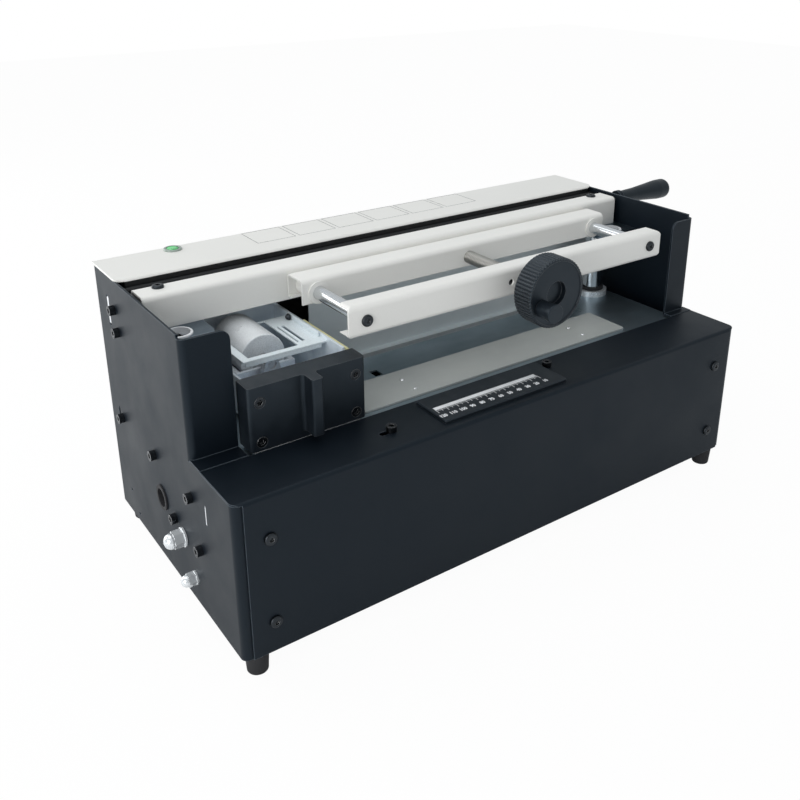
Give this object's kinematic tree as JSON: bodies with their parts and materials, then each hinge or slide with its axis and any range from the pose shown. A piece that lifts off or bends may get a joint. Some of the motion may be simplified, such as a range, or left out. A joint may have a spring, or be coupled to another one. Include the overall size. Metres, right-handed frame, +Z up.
{
  "type": "thermal binding machine",
  "caption": "Desktop thermal binding machine for books: sheet metal case, handwheel clamp, lever-lifted table and a sliding glue carriage with a roller.",
  "frame": {"origin": "on the floor, under the middle of the whole machine's bounding box", "axes": "+X to the right seen from the front and along the book, +Y to the rear, +Z up"},
  "size_m": [0.645, 0.2722, 0.2656],
  "materials": {
    "black_case": "textured powder coat",
    "ivory_coat": "satin powder coat",
    "zinc_sheet": "bright zinc plate",
    "dark_zinc": "dark zinc plate",
    "steel": "machined",
    "chrome_bar": "polished",
    "black_steel": "black oxide",
    "cast_alloy": "cast, satin",
    "brass_nut": "machined",
    "black_plastic": "fine grain",
    "white_plastic": "smooth",
    "yellow_plastic": "smooth",
    "green_plastic": "clear gloss",
    "board_green": "solder mask",
    "rubber": "matte"
  },
  "bodies": {
    "frame": {"left_side_plate": "black_case", "right_side_plate": "black_case", "front_cover": "black_case", "base_plate": "zinc_sheet", "rear_panel": "black_case", "top_cover": "ivory_coat", "rear_wall": "black_case", "rubber_feet": "rubber", "socket_screws": "black_steel", "button_screws": "black_steel", "cable_grommet": "rubber", "slot_plate": "zinc_sheet", "ruler_plate": "black_plastic", "power_inlet": "black_plastic", "switch_body": "black_plastic", "control_board": "board_green", "deck_plate": "dark_zinc", "inner_walls": "zinc_sheet", "rear_guide_bar": "steel", "shaft_bushes": "brass_nut", "stay_rod": "steel", "frame_nuts": "zinc_sheet", "lift_guide_rods": "chrome_bar", "guide_columns": "chrome_bar", "column_flanges": "steel", "column_wipers": "rubber", "rail_brackets": "black_case", "ring_bushes": "white_plastic", "clamp_rail": "ivory_coat", "guide_rods": "chrome_bar", "clamp_beam": "ivory_coat", "screw_nut": "brass_nut"},
    "jaw": {"jaw_channel": "ivory_coat", "jaw_bushes": "steel", "thrust_plate": "steel"},
    "wheel": {"handwheel": "black_plastic", "lead_screw": "chrome_bar", "crank_pin": "steel"},
    "knob": {"crank_knob": "black_plastic"},
    "lever": {"lever_arm": "black_case", "cross_shaft": "steel", "shaft_nut": "zinc_sheet", "lift_cams": "steel", "lever_grip": "black_plastic"},
    "table": {"lift_table": "dark_zinc", "cover_plate": "zinc_sheet", "lift_plates": "steel", "cam_followers": "steel"},
    "carriage": {"handle_block": "black_plastic", "carriage_screws": "black_steel", "carriage_pan": "zinc_sheet", "wiper_strip": "yellow_plastic", "carriage_shoes": "white_plastic", "glue_tank": "cast_alloy", "tank_heaters": "steel", "roller_bearings": "steel", "scraper_frame": "ivory_coat"},
    "roller": {"glue_roller": "cast_alloy", "roller_shaft": "steel"},
    "rocker": {"rocker_button": "green_plastic"}
  },
  "joints": [
    {"name": "wheel_turn", "type": "hinge", "parent": "jaw", "child": "wheel", "pos_m": [0.0045, -0.11665, 0.2346], "axis": [0, -1, 0], "range_deg": [0, 3600]},
    {"name": "jaw_slide", "type": "slide", "parent": "frame", "child": "jaw", "axis": [0, -1, 0], "range_m": [0, 0.04]},
    {"name": "knob_spin", "type": "hinge", "parent": "wheel", "child": "knob", "pos_m": [-0.01195, -0.13315, 0.2251], "axis": [0, -1, 0], "continuous": true},
    {"name": "lever_swing", "type": "hinge", "parent": "frame", "child": "lever", "pos_m": [0.24205, -0.03065, 0.0701], "axis": [1, 0, 0], "range_deg": [0, 105]},
    {"name": "table_lift", "type": "slide", "parent": "frame", "child": "table", "axis": [0, 0, 1], "range_m": [0, 0.052]},
    {"name": "carriage_slide", "type": "slide", "parent": "frame", "child": "carriage", "axis": [-1, 0, 0], "range_m": [-0.345, 0]},
    {"name": "roller_spin", "type": "hinge", "parent": "carriage", "child": "roller", "pos_m": [-0.21755, -0.00865, 0.1945], "axis": [0, 1, 0], "continuous": true},
    {"name": "rocker_press", "type": "hinge", "parent": "frame", "child": "rocker", "pos_m": [-0.23655, 0.12435, 0.2549], "axis": [1, 0, 0], "range_deg": [0, 14]}
  ],
  "couplings": [
    {"joint": "wheel_turn", "follows": "jaw_slide", "rad_per_m": 1570.8},
    {"joint": "table_lift", "follows": "lever_swing", "m_per_rad": 0.028375}
  ]
}
